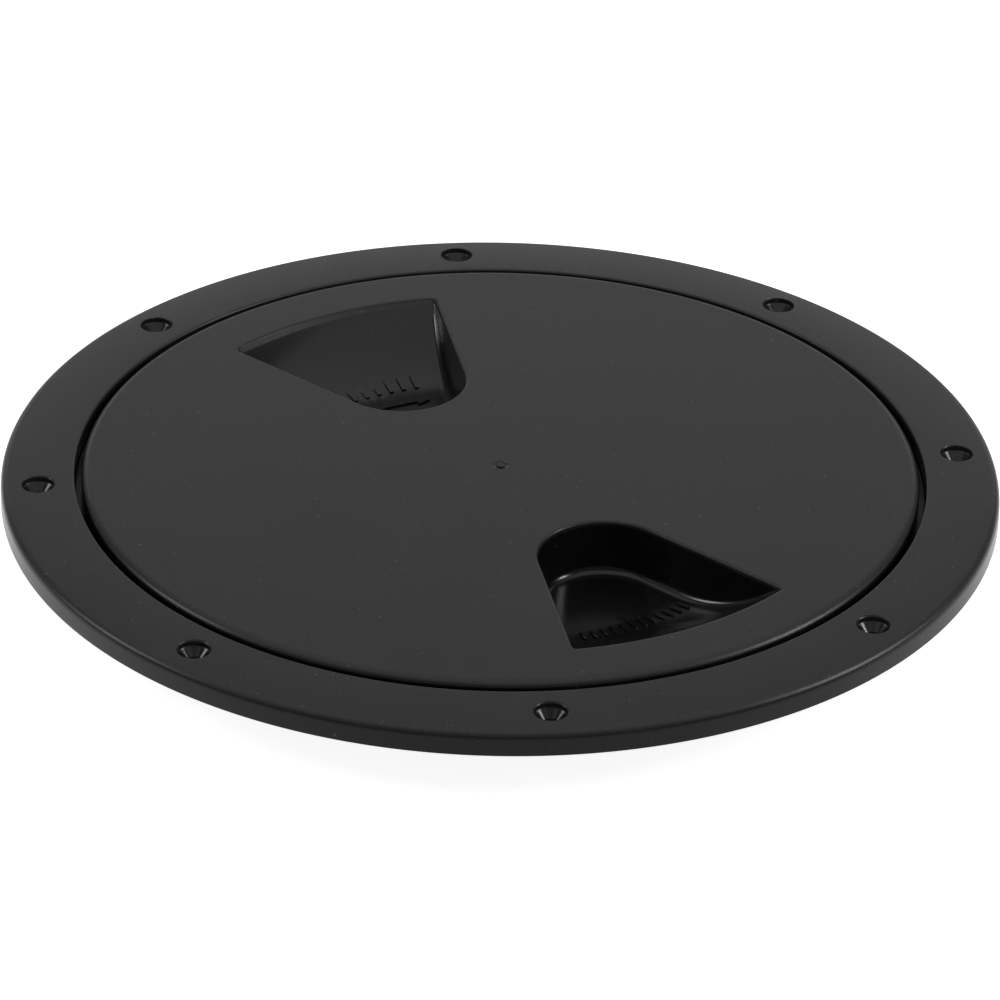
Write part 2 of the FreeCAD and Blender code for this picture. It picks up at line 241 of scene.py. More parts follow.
# %% Shader helpers
class Wire:
    """One output socket of a material's nodes. Arithmetic on it adds Math nodes."""

    def __init__(self, shader, socket):
        self.shader = shader
        self.socket = socket

    def maths(self, operation, first, second):
        return self.shader.node("ShaderNodeMath", {"operation": operation}, {0: first, 1: second})

    def __add__(self, other):
        return self.maths("ADD", self, other)

    def __radd__(self, other):
        return self.maths("ADD", other, self)

    def __sub__(self, other):
        return self.maths("SUBTRACT", self, other)

    def __rsub__(self, other):
        return self.maths("SUBTRACT", other, self)

    def __mul__(self, other):
        return self.maths("MULTIPLY", self, other)

    def __rmul__(self, other):
        return self.maths("MULTIPLY", other, self)

    def ramp(self, low, high):
        """0 below low, 1 above high, smooth between them."""
        settings = {"interpolation_type": "SMOOTHSTEP"}
        values = {"Value": self, "From Min": low, "From Max": high}
        return self.shader.node("ShaderNodeMapRange", settings, values)


class Shader:
    """A material with a Principled surface."""

    def __init__(self, name):
        self.material = bpy.data.materials.new(name)
        self.material.use_nodes = True
        self.nodes = self.material.node_tree.nodes
        self.links = self.material.node_tree.links
        self.surface = self.nodes["Principled BSDF"]
        self.place = self.node("ShaderNodeTexCoord", {}, {}, "Object")

    def feed(self, socket, value):
        if isinstance(value, Wire):
            self.links.new(value.socket, socket)
        else:
            socket.default_value = value

    def node(self, kind, settings, values, output=0):
        """Any node: its settings first, then the values or links of its sockets."""
        made = self.nodes.new(kind)
        for key, value in settings.items():
            setattr(made, key, value)
        for key, value in values.items():
            self.feed(made.inputs[key], value)
        return Wire(self, made.outputs[output])

    def noise(self, scale, detail=2.0, rough=0.5):
        """Cloudy value about 0.5. `scale` is in patches to the metre."""
        values = {"Vector": self.place, "Scale": scale, "Detail": detail, "Roughness": rough}
        return self.node("ShaderNodeTexNoise", {}, values, "Fac")

    def mix(self, factor, first, second):
        """Colour between two colours. Sockets 6 and 7 and output 2 are the colour ones."""
        values = {0: factor, 6: first, 7: second}
        return self.node("ShaderNodeMix", {"data_type": "RGBA"}, values, 2)

    def bump(self, height, distance, strength):
        values = {"Height": height, "Distance": distance, "Strength": strength}
        return self.node("ShaderNodeBump", {}, values)

    def set(self, **sockets):
        """Principled sockets by name, with underscores for spaces."""
        for name, value in sockets.items():
            self.feed(self.surface.inputs[name.replace("_", " ")], value)


print("shader helpers ready")

# %% [markdown]
# ## Floor finish
# The hatch lies on a plain pale sheet that glows a little, like a light table, so
# that its shadow stays faint. A trace of mottling keeps it from being one flat colour.

# %% Pale floor
pale = Shader("pale_floor")
mottle = pale.noise(3.0)
pale.set(
    Base_Color=pale.mix(mottle, (0.90, 0.90, 0.90, 1), (0.93, 0.93, 0.93, 1)),
    Roughness=0.9,
    Emission_Color=(1, 1, 1, 1),
    Emission_Strength=0.9,
)
floor_mesh.materials.append(pale.material)
print("floor:", pale.material.name)

# %% [markdown]
# ## Geometry Nodes helper
# A turned shape, a thread and a ring of bosses are all rules, so Geometry Nodes
# make them. `Tree` builds one node tree with named sizes. `grow` runs a tree once,
# keeps its mesh and throws the modifier away.

# %% Tree helper
SOCKETS = {int: "NodeSocketInt", float: "NodeSocketFloat", bpy.types.Object: "NodeSocketObject"}


class Tree:
    """A Geometry Nodes tree with named sizes, which ends in one mesh with one finish."""

    def __init__(self, name, **sizes):
        self.tree = bpy.data.node_groups.new(name, "GeometryNodeTree")
        self.tree.is_modifier = True
        self.names = {}
        for label, kind in sizes.items():
            socket = self.tree.interface.new_socket(
                label, in_out="INPUT", socket_type=SOCKETS[kind])
            self.names[label] = socket.identifier
        finish = self.tree.interface.new_socket(
            "finish", in_out="INPUT", socket_type="NodeSocketMaterial")
        self.names["finish"] = finish.identifier
        self.tree.interface.new_socket(
            "Geometry", in_out="OUTPUT", socket_type="NodeSocketGeometry")
        self.given = self.tree.nodes.new("NodeGroupInput")

    def size(self, label):
        return self.given.outputs[label]

    def node(self, kind, settings=None, output=0, **values):
        """Any node. Socket names are given with underscores for spaces."""
        made = self.tree.nodes.new(kind)
        for key, value in (settings or {}).items():
            setattr(made, key, value)
        for key, value in values.items():
            socket = made.inputs[int(key[1:]) if key[1:].isdigit() else key.replace("_", " ")]
            if isinstance(value, bpy.types.NodeSocket):
                self.tree.links.new(value, socket)
            else:
                socket.default_value = value
        return made.outputs[output]

    def maths(self, operation, first, second=0.0):
        return self.node("ShaderNodeMath", {"operation": operation}, _0=first, _1=second)

    def finish(self, geometry):
        """Realize Instances and Set Material close the tree."""
        real = self.node("GeometryNodeRealizeInstances", Geometry=geometry)
        done = self.node("GeometryNodeSetMaterial", Geometry=real, Material=self.size("finish"))
        self.tree.links.new(done, self.tree.nodes.new("NodeGroupOutput").inputs[0])
        return self


def grow(tree, name, finish, **sizes):
    """Run a tree on an empty object and keep the result as a plain mesh object."""
    piece = bpy.data.objects.new(name, bpy.data.meshes.new(name))
    bpy.context.scene.collection.objects.link(piece)
    modifier = piece.modifiers.new("nodes", "NODES")
    modifier.node_group = tree.tree
    for label, value in dict(sizes, finish=finish).items():
        modifier[tree.names[label]] = value
    bpy.context.view_layer.update()
    seen = piece.evaluated_get(bpy.context.evaluated_depsgraph_get())
    mesh = bpy.data.meshes.new_from_object(seen)
    piece.modifiers.remove(modifier)
    piece.data = mesh
    face_outwards(piece)
    return piece


def face_outwards(piece):
    """Close the poles, merge doubled points and turn every face of a closed mesh outwards."""
    work = bmesh.new()
    work.from_mesh(piece.data)
    near = 0.01 * mm
    for point in work.verts:
        if math.hypot(point.co.x, point.co.y) < near:
            point.co.xy = (0, 0)
    bmesh.ops.remove_doubles(work, verts=work.verts, dist=near / 5)
    bmesh.ops.dissolve_degenerate(work, edges=work.edges, dist=near / 50)
    loose = [edge for edge in work.edges if not edge.link_faces]
    bmesh.ops.delete(work, geom=loose, context="EDGES")
    bmesh.ops.recalc_face_normals(work, faces=work.faces)
    if work.calc_volume(signed=True) < 0:
        bmesh.ops.reverse_faces(work, faces=work.faces)
    work.to_mesh(piece.data)
    work.free()


print("tree helper ready")

# %% [markdown]
# ## Turned sections
# A moulding that is round all the way is drawn as a half-section and swept round
# the axis. Each corner of the section gives its radius from the axis, its height
# and the size of its round, so no edge is left knife sharp.

# %% Turned shape
ROUND_STEPS = 7
TURN_STEPS = 288


def rounded(corners):
    """Half-section with its corners rounded: (radius, height, round) in millimetres."""
    points = []
    for index, (radius, height, size) in enumerate(corners):
        here = Vector((radius, height))
        if not size:
            points.append(here)
            continue
        back = (Vector(corners[index - 1][:2]) - here).normalized()
        on = (Vector(corners[(index + 1) % len(corners)][:2]) - here).normalized()
        half = back.angle(on) / 2
        centre = here + (back + on).normalized() * size / math.sin(half)
        first = here + back * size / math.tan(half) - centre
        last = here + on * size / math.tan(half) - centre
        sweep = first.angle_signed(last)
        for step in range(ROUND_STEPS + 1):
            turn = Matrix.Rotation(-sweep * step / ROUND_STEPS, 2)
            points.append(centre + turn @ first)
    return points


def section_curve(name, corners):
    """The section as a closed curve. Its X is the radius less 1 m, its Y is minus the height."""
    curve = bpy.data.curves.new(name, "CURVE")
    line = curve.splines.new("POLY")
    points = rounded(corners)
    line.points.add(len(points) - 1)
    for point, (radius, height) in zip(line.points, points):
        point.co = (radius * mm - 1, -height * mm, 0, 1)
    line.use_cyclic_u = True
    drawn = bpy.data.objects.new(name, curve)
    bpy.context.scene.collection.objects.link(drawn)
    return drawn


turned_tree = Tree("turned_shape", section=bpy.types.Object, steps=int)
drawn_section = turned_tree.node(
    "GeometryNodeObjectInfo", output="Geometry", Object=turned_tree.size("section"))
path = turned_tree.node(
    "GeometryNodeCurvePrimitiveCircle", Resolution=turned_tree.size("steps"), Radius=1.0)
path = turned_tree.node("GeometryNodeSetCurveNormal", {"mode": "Z_UP"}, Curve=path)
skin = turned_tree.node("GeometryNodeCurveToMesh", Curve=path, Profile_Curve=drawn_section)
turned_tree.finish(skin)


def turned(name, corners, finish):
    section = section_curve(name + "_section", corners)
    piece = grow(turned_tree, name, finish, section=section, steps=TURN_STEPS)
    bpy.data.objects.remove(section)
    return piece


print("turned shapes have", TURN_STEPS, "steps round")

# %% [markdown]
# ## Threads
# The two mouldings screw together with a coarse two-start thread: two ridges side
# by side, each climbing 8 mm in a turn, so the lid frees itself in a single turn.
# The tree draws one helix, sweeps a trapezoid along it and repeats it round the
# axis for the other start.

# %% Thread tree
thread_tree = Tree(
    "thread_ridges", root=float, crest=float, wide=float, narrow=float,
    start=float, lead=float, turns=float, starts=int,
)
THREAD_STEPS = 192
line = thread_tree.node("GeometryNodeCurvePrimitiveLine", End=(0, 0, 1))
line = thread_tree.node("GeometryNodeResampleCurve", Curve=line, Count=THREAD_STEPS)
along = thread_tree.node("GeometryNodeSplineParameter", output="Factor")
turns_made = thread_tree.maths("MULTIPLY", along, thread_tree.size("turns"))
angle = thread_tree.maths("MULTIPLY", turns_made, math.tau)
climb = thread_tree.maths("MULTIPLY", turns_made, thread_tree.size("lead"))
height = thread_tree.maths("ADD", climb, thread_tree.size("start"))
helix_place = thread_tree.node(
    "ShaderNodeCombineXYZ",
    X=thread_tree.maths("MULTIPLY", thread_tree.maths("COSINE", angle), thread_tree.size("root")),
    Y=thread_tree.maths("MULTIPLY", thread_tree.maths("SINE", angle), thread_tree.size("root")),
    Z=height,
)
helix = thread_tree.node("GeometryNodeSetPosition", Geometry=line, Position=helix_place)
helix = thread_tree.node("GeometryNodeSetCurveNormal", {"mode": "Z_UP"}, Curve=helix)
reach = thread_tree.maths("SUBTRACT", thread_tree.size("crest"), thread_tree.size("root"))
corners = {}
for label, out, width, side in (
    ("Point_1", 0.0, "wide", -0.5), ("Point_2", reach, "narrow", -0.5),
    ("Point_3", reach, "narrow", 0.5), ("Point_4", 0.0, "wide", 0.5),
):
    across = thread_tree.maths("MULTIPLY", thread_tree.size(width), side)
    corners[label] = thread_tree.node("ShaderNodeCombineXYZ", X=out, Y=across)
trapezoid = thread_tree.node(
    "GeometryNodeCurvePrimitiveQuadrilateral", {"mode": "POINTS"}, **corners)
ridge = thread_tree.node(
    "GeometryNodeCurveToMesh", Curve=helix, Profile_Curve=trapezoid, Fill_Caps=True)
points = thread_tree.node("GeometryNodePoints", Count=thread_tree.size("starts"))
number = thread_tree.node("GeometryNodeInputIndex")
step = thread_tree.maths("DIVIDE", math.tau, thread_tree.size("starts"))
turn = thread_tree.node("ShaderNodeCombineXYZ", Z=thread_tree.maths("MULTIPLY", number, step))
ridges = thread_tree.node(
    "GeometryNodeInstanceOnPoints", Points=points, Instance=ridge, Rotation=turn)
thread_tree.finish(ridges)


def thread(name, root, crest, start, rise):
    """Ridges from a root to a crest radius, which climb from a start by a rise."""
    sink = RIDGE_SINK if crest < root else -RIDGE_SINK
    return grow(
        thread_tree, name, None,
        root=(root + sink) * mm, crest=crest * mm,
        wide=RIDGE_ROOT * mm, narrow=RIDGE_CREST * mm,
        start=start * mm, lead=LEAD * mm, turns=rise / LEAD, starts=STARTS,
    )


print("threads:", STARTS, "starts,", LEAD, "mm lead")

# %% [markdown]
# ## Rings of details
# Screw holes, bosses, ribs, cups and raised bars are each one shape repeated round
# the axis. The tree takes that shape from an object and sets copies of it round Z.

# %% Ring tree
ring_tree = Tree("ring_of_details", shape=bpy.types.Object, count=int, first=float, step=float)
shape = ring_tree.node("GeometryNodeObjectInfo", output="Geometry", Object=ring_tree.size("shape"))
points = ring_tree.node("GeometryNodePoints", Count=ring_tree.size("count"))
number = ring_tree.node("GeometryNodeInputIndex")
turned_by = ring_tree.maths("MULTIPLY", number, ring_tree.size("step"))
turn = ring_tree.maths("ADD", turned_by, ring_tree.size("first"))
copies = ring_tree.node(
    "GeometryNodeInstanceOnPoints", Points=points, Instance=shape,
    Rotation=ring_tree.node("ShaderNodeCombineXYZ", Z=turn),
)
ring_tree.finish(copies)


def solid_of_rings(name, rings):
    """Closed mesh through rings of points, first to last, with a face on each end."""
    mesh = bpy.data.meshes.new(name)
    count = len(rings[0])
    last = (len(rings) - 1) * count
    faces = [tuple(range(count)), tuple(range(last, last + count))]
    for low in range(0, last, count):
        high = low + count
        for here in range(count):
            after = (here + 1) % count
            faces.append((low + here, low + after, high + after, high + here))
    mesh.from_pydata([Vector(point) * mm for ring in rings for point in ring], [], faces)
    piece = bpy.data.objects.new(name, mesh)
    bpy.context.scene.collection.objects.link(piece)
    face_outwards(piece)
    return piece


ROUND_SIDES = 64


def round_solid(name, outline, centre=0.0):
    """Solid turned about an upright axis at a distance along X: (radius, height) pairs."""
    turns = [math.tau * side / ROUND_SIDES for side in range(ROUND_SIDES)]
    return solid_of_rings(name, [
        [(centre + radius * math.cos(t), radius * math.sin(t), height) for t in turns]
        for radius, height in outline
    ])


def bar_solid(name, inner, outer, low, high):
    """Rib along X from an inner to an outer radius, thinner at its lower edge."""
    rings = []
    for height, half in ((low, RIB / 2 - RIB_TAPER / 2), (high, RIB / 2 + RIB_TAPER / 2)):
        rings.append([(inner, -half, height), (outer, -half, height),
                      (outer, half, height), (inner, half, height)])
    return solid_of_rings(name, rings)


def ring_of(shape, count, first=0.0, step=None):
    """Copies of a solid round the axis, evenly unless a step is given. The solid then goes."""
    made = grow(
        ring_tree, shape.name + "_ring", None,
        shape=shape, count=count, first=first, step=step or math.tau / count,
    )
    bpy.data.objects.remove(shape)
    return made


print("ring tree ready")

# %% [markdown]
# ## Joining and cutting
# The mouldings are solid plastic, so their details are joined with exact booleans
# instead of being pushed into each other. Shading is then smooth on round
# faces and crisp at real edges: faces are weighted by their area, so a large flat
# face stays flat right up to its rounded edge.

# %% Booleans and shading
CRISP = math.radians(32)


def combine(piece, operation, other):
    """Join another solid to a piece (UNION) or cut it out (DIFFERENCE)."""
    modifier = piece.modifiers.new(operation, "BOOLEAN")
    modifier.operation = operation
    modifier.solver = "EXACT"
    modifier.use_self = False
    modifier.object = other
    bpy.context.view_layer.update()
    seen = piece.evaluated_get(bpy.context.evaluated_depsgraph_get())
    mesh = bpy.data.meshes.new_from_object(seen)
    piece.modifiers.remove(modifier)
    piece.data = mesh
    bpy.data.objects.remove(other)


def one_finish(piece, material):
    """Give the whole piece one material."""
    piece.data.materials.clear()
    piece.data.materials.append(material)
    piece.data.polygons.foreach_set("material_index", [0] * len(piece.data.polygons))


def shade(piece):
    """Smooth faces with crisp edges, and normals weighted by area."""
    mesh = piece.data
    mesh.polygons.foreach_set("use_smooth", [True] * len(mesh.polygons))
    mesh.set_sharp_from_angle(angle=CRISP)
    modifier = piece.modifiers.new("weights", "WEIGHTED_NORMAL")
    modifier.mode = "FACE_AREA"
    modifier.weight = 90
    modifier.keep_sharp = True
    bpy.context.view_layer.update()
    seen = piece.evaluated_get(bpy.context.evaluated_depsgraph_get())
    piece.data = bpy.data.meshes.new_from_object(seen)
    piece.modifiers.remove(modifier)


print("booleans ready")

# %% [markdown]
# ## Moulded plastic
# The top faces come off a spark-eroded tool, which leaves a fine matte grain. The
# finger recesses, the holes and the sides come off polished steel, so they are
# smooth, with clear reflections. Their darker base colour is painted shade. One
# material does both: a height tells where the polished, shade-painted part begins.

# %% Black plastic
GRAIN, CLOUDS, SPECKS = 2600.0, 28.0, 900.0
GRAIN_HEIGHT = 0.06 * mm
MATTE, CLOUDINESS, POLISH = 0.31, 0.08, 0.16
POLISH_AND_SHADE_FADE = 0.7


def black_plastic(name, polish_and_shade=None):
    """Black moulding compound with a fine grain. `polish_and_shade` is a mask of smooth areas,
    whose base colour is also darkened as painted shade.
    """
    shader = Shader(name)
    grain = shader.noise(GRAIN, 3.0, 0.6)
    cloud = shader.noise(CLOUDS, 3.0, 0.55)
    rough = MATTE + CLOUDINESS * cloud
    relief = grain
    if polish_and_shade:
        mask = polish_and_shade(shader)
        rough = rough - POLISH * mask
        relief = grain * (1 - 0.9 * mask)
    dust = shader.noise(SPECKS, 1.0, 0.4).ramp(0.75, 0.79)
    colour = shader.mix(cloud, (0.016, 0.016, 0.0165, 1), (0.020, 0.020, 0.0205, 1))
    dusty = dust * 0.7
    if polish_and_shade:
        # Painted shade: the cups, holes and sides get a darker base colour than the top faces.
        colour = shader.mix(mask, colour, (0.006, 0.006, 0.006, 1))
        dusty = dusty * (1 - 0.7 * mask)
    colour = shader.mix(dusty, colour, (0.16, 0.16, 0.16, 1))
    shader.set(
        Base_Color=colour,
        Roughness=rough,
        Normal=shader.bump(relief, GRAIN_HEIGHT, 0.6),
        IOR=1.5,
    )
    return shader.material


def flange_height(radius):
    """Height of the flange's top face, which curves down a little towards its edge."""
    return FLANGE_TOP - EDGE_FALL * ((radius - MOUTH) / (FLANGE - MOUTH)) ** 2


def polished_and_shaded_below(top):
    """Mask of the faces that lie lower than a height: the cups, the holes, the sides. They are
    polished, and their colour is darkened as painted shade.
    """
    def mask(shader):
        height = shader.node("ShaderNodeSeparateXYZ", {}, {0: shader.place}, "Z")
        return (top * mm - height).ramp(0, POLISH_AND_SHADE_FADE * mm)
    return mask


# Heights below which the plastic is polished and its base colour is darkened as painted shade.
flange_polish_and_shade = flange_height(FLANGE) - 0.7
lid_polish_and_shade = LID_TOP - 0.9
flange_plastic = black_plastic("flange_plastic", polished_and_shaded_below(flange_polish_and_shade))
lid_plastic = black_plastic("lid_plastic", polished_and_shaded_below(lid_polish_and_shade))
rubber = black_plastic("seal_rubber_black")
print("materials:", flange_plastic.name, lid_plastic.name, rubber.name)

# %% [markdown]
# ## Mounting frame
# The flange lies on the deck and the barrel goes down through it. The flange's
# underside is hollow, as moulded plates are, to keep the wall even: ribs stiffen
# the channel and a boss carries each screw. A shelf inside the mouth carries the
# O-ring.

# %% Flange and barrel
CROWN_STEPS = 8
crown = [FLANGE + (MOUTH - FLANGE) * step / CROWN_STEPS for step in range(2, CROWN_STEPS)]
flange = turned("deck_flange", [
    (BORE, BARREL_END, 0.6),
    (BARREL, BARREL_END, 0.6),
    (BARREL, 0, 0.5),
    (CHANNEL_IN, 0, 0.3),
    (CHANNEL_IN, CHANNEL_ROOF, 0.6),
    (CHANNEL_OUT, CHANNEL_ROOF, 0.6),
    (CHANNEL_OUT, 0, 0.3),
    (FLANGE, 0, 0.3),
    (FLANGE, flange_height(FLANGE), SHOULDER),
    *[(radius, flange_height(radius), 0) for radius in crown],
    (MOUTH, FLANGE_TOP, 0.6),
    (MOUTH, SHELF, 0.4),
    (BORE, SHELF, 0.3),
], None)
print("flange and barrel:", len(flange.data.polygons), "faces")

# %% [markdown]
# Each screw hole has a short straight land for the head, then a cone, then a clear
# hole through its boss. The rim of the land is broken by a small round.

# %% Ribs, bosses, screw holes and thread
inside_roof = CHANNEL_ROOF + 1.2
rib_foot = 0.45
rib = bar_solid("rib", CHANNEL_IN - 1, CHANNEL_OUT + 1, rib_foot, inside_roof)
boss = round_solid("boss", [(BOSS / 2 - 0.15, 0), (BOSS / 2, inside_roof)], SCREW_CIRCLE)
head_floor = flange_height(SCREW_CIRCLE) - HEAD_LAND
hole_top = flange_height(SCREW_CIRCLE)
rim_break = 0.25
hole = round_solid("hole", [
    (SCREW_HOLE / 2, -1),
    (SCREW_HOLE / 2, head_floor - (SCREW_HEAD - SCREW_HOLE) / 2),
    (SCREW_HEAD / 2, head_floor),
    (SCREW_HEAD / 2, hole_top - rim_break),
    (SCREW_HEAD / 2 + rim_break, hole_top),
    (SCREW_HEAD / 2 + rim_break, hole_top + 1),
], SCREW_CIRCLE)
combine(flange, "UNION", ring_of(rib, 2 * SCREWS))
combine(flange, "UNION", ring_of(boss, SCREWS))
combine(flange, "DIFFERENCE", ring_of(hole, SCREWS))
combine(flange, "UNION", thread(
    "frame_thread", BORE, BORE - RIDGE, FRAME_THREAD, FRAME_THREAD_RISE))
one_finish(flange, flange_plastic)
shade(flange)
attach(flange, "frame")
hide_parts("mounting_frame")
print("flange finished:", len(flange.data.polygons), "faces")

# %% [markdown]
# ## Finger recesses
# Two fingers turn the lid in two wedge-shaped cups. In plan a cup is a slice of
# the lid with a round nose. Its walls are nearly upright, its floor is flat near
# the nose and then sweeps up to the rim like a scoop. The cup is built as loops
# of its outline, each a little further in: the first loops make the rounded
# mouth, the next the wall, then the fillet, and the last cross the floor.

# %% Recess form
RECESS_TURN = math.radians(-65.55)
HALF_ANGLE = math.radians(19.15)
NOSE = 17.1
REACH = 91.4
DEPTH = 14.2
SCOOP_START = 60.0
DRAFT = math.radians(3.5)
FLOOR_ROUND = 2.5
MOUTH_ROUND = 0.8
CUP_WALL = 2.5
CORNER = 1.4
LEAST_CORNER = 0.05
FLOOR_LOOP = 10.5
FLOOR_MIDDLE = 62.0
INTO_PLATE = 1.5
NOSE_STEPS, SIDE_STEPS, CORNER_STEPS, RIM_STEPS = 40, 36, 8, 48
MOUTH_STEPS, WALL_STEPS, FILLET_STEPS = 6, 5, 8
NOSE_CENTRE = NOSE / math.sin(HALF_ANGLE)
SCOOP_RUN = REACH - SCOOP_START
SCOOP = (SCOOP_RUN ** 2 + DEPTH ** 2) / (2 * DEPTH)


def scoop_drop(radius, wall=0.0):
    """How far the cup's floor lies below the lid's top, at a distance from the axis."""
    past = max(radius - SCOOP_START, 0.0)
    size = SCOOP + wall
    rise = size - math.sqrt(max(size ** 2 - past ** 2, 0.0))
    drop = DEPTH + wall - rise
    slope = SCOOP_RUN / (SCOOP - DEPTH)
    to_edge = drop / slope
    if to_edge > MOUTH_ROUND:
        return drop
    return slope * max(to_edge + MOUTH_ROUND, 0.0) ** 2 / (4 * MOUTH_ROUND)


def outline_plan():
    """Spots round the cup's outline: the nose, one side, the rim and the other side."""
    nose_turn = math.pi / 2 + HALF_ANGLE
    nose_sweep = math.tau - 2 * nose_turn
    sides = [step / SIDE_STEPS for step in range(1, SIDE_STEPS)]
    corners = [step / CORNER_STEPS for step in range(CORNER_STEPS + 1)]
    plan = [("nose", nose_turn + nose_sweep * step / NOSE_STEPS) for step in range(NOSE_STEPS + 1)]
    plan += [("side", -1, share) for share in sides]
    plan += [("corner", -1, share) for share in corners]
    plan += [("rim", step / RIM_STEPS) for step in range(1, RIM_STEPS)]
    plan += [("corner", 1, share) for share in reversed(corners)]
    plan += [("side", 1, share) for share in reversed(sides)]
    return plan


def outline_point(spot, out):
    """The plan place of one spot when the outline is moved outwards."""
    kind = spot[0]
    if kind == "nose":
        size = NOSE + out
        return Vector((NOSE_CENTRE + size * math.cos(spot[1]), size * math.sin(spot[1])))
    rim = REACH + out
    corner = max(CORNER + out, LEAST_CORNER)
    tilt = math.asin((corner - out) / (rim - corner))
    corner_turn = HALF_ANGLE - tilt
    if kind == "rim":
        turn = corner_turn * (2 * spot[1] - 1)
        return Vector((rim * math.cos(turn), rim * math.sin(turn)))
    side = spot[1]
    middle = (rim - corner) * Vector((math.cos(corner_turn), side * math.sin(corner_turn)))
    if kind == "corner":
        first = side * (HALF_ANGLE + math.pi / 2)
        last = side * corner_turn
        turn = first + (last - first) * spot[2]
        return middle + corner * Vector((math.cos(turn), math.sin(turn)))
    start = outline_point(("nose", side * (math.pi / 2 + HALF_ANGLE)), out)
    turn = side * (HALF_ANGLE + math.pi / 2)
    end = middle + corner * Vector((math.cos(turn), math.sin(turn)))
    return start.lerp(end, spot[2])


def cup_rings(wall):
    """Rings of points from above the cup's mouth down and in to the middle of its floor."""
    plan = outline_plan()
    lip = 0.0 if wall else MOUTH_ROUND
    depths = [scoop_drop(outline_point(spot, 0).length, wall) for spot in plan]
    rounds = [min(FLOOR_ROUND + wall, 0.6 * depth) for depth in depths]
    feet = [math.tan(DRAFT) * max(depth - size, 0) for depth, size in zip(depths, rounds)]
    rings = []

    def ring(moves, drops=None):
        """One ring: how far each spot moves inwards, and how deep it may lie."""
        row = []
        for index, (spot, move) in enumerate(zip(plan, moves)):
            flat = outline_point(spot, wall - move)
            limit = scoop_drop(flat.length, wall)
            drop = limit if drops is None else min(drops[index], limit)
            if wall:
                drop = max(drop, INTO_PLATE + 0.5)
            row.append((flat.x, flat.y, LID_TOP - drop))
        rings.append(row)

    cap = LID_TOP - INTO_PLATE if wall else LID_TOP + 2
    rings.append([(*outline_point(spot, wall + lip), cap) for spot in plan])
    for step in range(MOUTH_STEPS + 1 if lip else 0):
        turn = math.pi / 2 * step / MOUTH_STEPS
        ring([lip * (math.sin(turn) - 1)] * len(plan), [lip * (1 - math.cos(turn))] * len(plan))
    for step in range(1, WALL_STEPS):
        share = step / WALL_STEPS
        ring(
            [share * foot for foot in feet],
            [lip + share * (depth - size - lip) for depth, size in zip(depths, rounds)],
        )
    for step in range(FILLET_STEPS + 1):
        turn = math.pi / 2 * step / FILLET_STEPS
        moves = [foot + size * (1 - math.cos(turn)) for foot, size in zip(feet, rounds)]
        row_drops = []
        for spot, move, size in zip(plan, moves, rounds):
            floor = scoop_drop(outline_point(spot, wall - move).length, wall)
            row_drops.append(floor - size * (1 - math.sin(turn)))
        ring(moves, row_drops)
    for share in (0.2, 0.45, 0.75):
        ring([
            foot + size + share * (FLOOR_LOOP - foot - size)
            for foot, size in zip(feet, rounds)
        ])
    ring([FLOOR_LOOP] * len(plan))
    last = [Vector(point[:2]) for point in rings[-1]]
    middle = Vector((FLOOR_MIDDLE, 0.0))
    for share in (0.25, 0.5, 0.75, 0.92):
        row = []
        for flat in last:
            inner = flat.lerp(middle, share)
            drop = scoop_drop(inner.length, wall)
            row.append((inner.x, inner.y, LID_TOP - drop))
        rings.append(row)
    return rings


def cup_solid(name, wall):
    return solid_of_rings(name, cup_rings(wall))


print("scoop radius %.1f mm, nose centre at %.1f mm" % (SCOOP, NOSE_CENTRE))

# %% [markdown]
# ## Lid
# The lid is one moulding too: a plate with a rounded shoulder, a neck with the
# thread, six ribs and a hub underneath, and the two cups. The small dimple in
# its centre is the gate, where the molten plastic entered the tool.

# %% Lid
GATE = 0.9
GATE_EDGE = 2.2
GATE_DEPTH = 0.6
LID_RIBS = 6
LID_RIB_DEPTH = 6
HUB = 7.0
lid = turned("hatch_lid", [
    (0, PLATE_UNDER, 0),
    (NECK_BORE, PLATE_UNDER, 1.0),
    (NECK_BORE, NECK_END, 0.5),
    (NECK, NECK_END, 0.6),
    (NECK, PILOT - RIDGE, 0),
    (LID_CREST, PILOT, 0.2),
    (LID_CREST, RIM_UNDER, 0.3),
    (RIM, RIM_UNDER, 0.2),
    (RIM, LID_TOP, SHOULDER),
    (GATE_EDGE, LID_TOP, 0.15),
    (GATE, LID_TOP - GATE_DEPTH, 0.1),
    (GATE, LID_TOP, 0.15),
    (0, LID_TOP, 0),
], None)
rib_low = PLATE_UNDER - LID_RIB_DEPTH
rib_high = LID_TOP - INTO_PLATE
lid_rib = bar_solid("lid_rib", HUB - 2, NECK_BORE + 1.5, rib_low, rib_high)
hub = round_solid("hub", [(HUB - 0.2, rib_low), (HUB, rib_high)])
combine(lid, "UNION", ring_of(lid_rib, LID_RIBS, RECESS_TURN + math.pi / LID_RIBS))
combine(lid, "UNION", hub)
combine(lid, "UNION", ring_of(cup_solid("cup", CUP_WALL), 2, RECESS_TURN))
combine(lid, "DIFFERENCE", ring_of(cup_solid("space", 0.0), 2, RECESS_TURN))
combine(lid, "UNION", thread("lid_thread", NECK, LID_CREST, LID_THREAD, LID_THREAD_RISE))
print("lid joined:", len(lid.data.polygons), "faces")

# %% [markdown]
# The cups' floors carry low raised marks: an arrow in the cup whose pull tightens the
# lid, and a row of plain bars in each. They stand on the curved floor, so each cross
# section takes its height from the same `scoop_drop`. All bars of a row are one bar
# turned about the axis, which the ring tree repeats.

# %% Raised marks
MARK_RISE = 0.45
MARK_SUNK = 0.62
MARK_DRAFT = 0.12
ARROW_RADIUS = 61.85
ARROW_TURNS = (0.5, -9.6, -12.9)
ARROW_SHAFT = 0.45
ARROW_HEAD = 1.7
ARROW_TIP = 0.2
ARROW_STEPS = 10
BAR_FOOT = -0.1


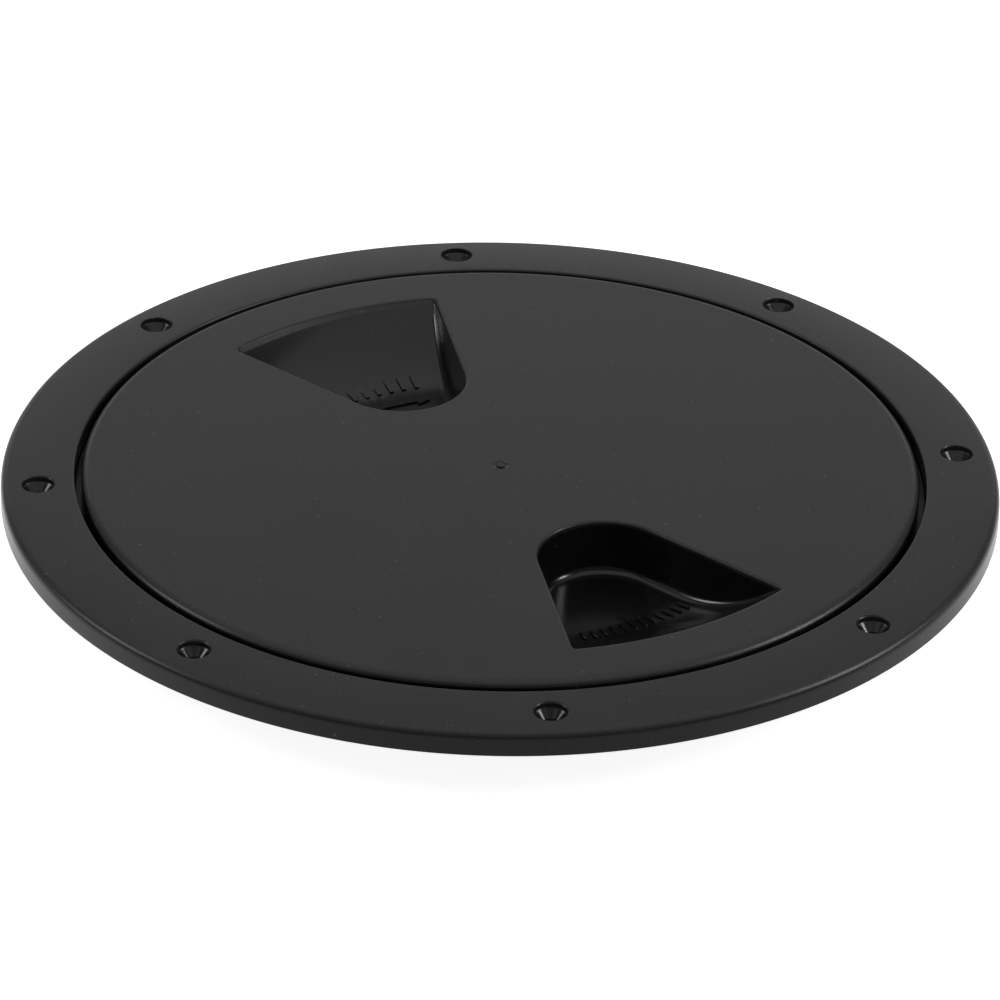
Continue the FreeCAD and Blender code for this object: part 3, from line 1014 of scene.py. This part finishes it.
def mark_solid(name, stations):
    """Ridge on a cup's floor through stations: (turn in degrees, inner, outer, rise)."""
    rings = []
    for turn, inner, outer, rise in stations:
        turn = math.radians(turn)
        ring = []
        for radius, height in (
            (inner, -MARK_SUNK), (outer, -MARK_SUNK),
            (outer - MARK_DRAFT, rise), (inner + MARK_DRAFT, rise),
        ):
            height += LID_TOP - scoop_drop(radius)
            ring.append((radius * math.cos(turn), radius * math.sin(turn), height))
        rings.append(ring)
    return solid_of_rings(name, rings)


def bar_mark(name, inner, outer, width):
    """A short bar that points at the axis. Its long sides slope into the floor."""
    half = math.degrees(width / 2 / inner)
    sides = ((-1, BAR_FOOT), (-0.7, MARK_RISE), (0.7, MARK_RISE), (1, BAR_FOOT))
    return mark_solid(name, [(side * half, inner, outer, rise) for side, rise in sides])


def arrow_mark(name):
    """An arrow along an arc, from its tail past its neck to its tip."""
    tail, neck, tip = ARROW_TURNS
    stations = [
        (tail + (neck - tail) * step / ARROW_STEPS, ARROW_SHAFT)
        for step in range(ARROW_STEPS + 1)
    ]
    stations += [(neck + (tip - neck) * 0.02, ARROW_HEAD), (tip, ARROW_TIP)]
    return mark_solid(name, [
        (turn, ARROW_RADIUS - half, ARROW_RADIUS + half, MARK_RISE) for turn, half in stations
    ])


far_cup = RECESS_TURN + math.pi
combine(lid, "UNION", ring_of(arrow_mark("arrow"), 1, far_cup))
# Each row: cup, inner and outer radius, width, count, then first turn and step in degrees.
for name, cup, inner, outer, width, count, first, step in (
    ("far_bar", far_cup, 67.53, 72.37, 1.4, 8, -11.4, 3.0),
    ("near_bar", RECESS_TURN, 62.4, 66.6, 0.9, 12, -11.6, 2.4),
):
    bar = bar_mark(name, inner, outer, width)
    combine(lid, "UNION", ring_of(bar, count, cup + math.radians(first), math.radians(step)))
one_finish(lid, lid_plastic)
shade(lid)
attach(lid, "lid")
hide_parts("screw_lid")
print("lid finished:", len(lid.data.polygons), "faces")

# %% [markdown]
# ## O-ring
# A moulded rubber cord ring. Two thin flash lines, where the halves of its mould
# met, run round its inside and outside.

# %% O-ring
ring_middle = (ring_low.z + ring_high.z) / 2 / mm
ring_size = (ring_high.z - ring_low.z) / 2 / mm
ring_radius = ring_high.x / mm - ring_size
flash = 0.02
skin = 0.01
cord_steps = 48
ring_corners = []
for step in range(cord_steps):
    turn = math.tau * step / cord_steps
    size = ring_size - skin + (flash if step in (0, cord_steps // 2) else 0.0) - flash
    ring_corners.append(
        (ring_radius + size * math.cos(turn), ring_middle + size * math.sin(turn), 0))
seal = turned("o_ring", ring_corners, rubber)
shade(seal)
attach(seal, "seal")
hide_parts("lid_o_ring")
print("O-ring: %.1f mm across its middle, %.1f mm cord" % (2 * ring_radius, 2 * ring_size))
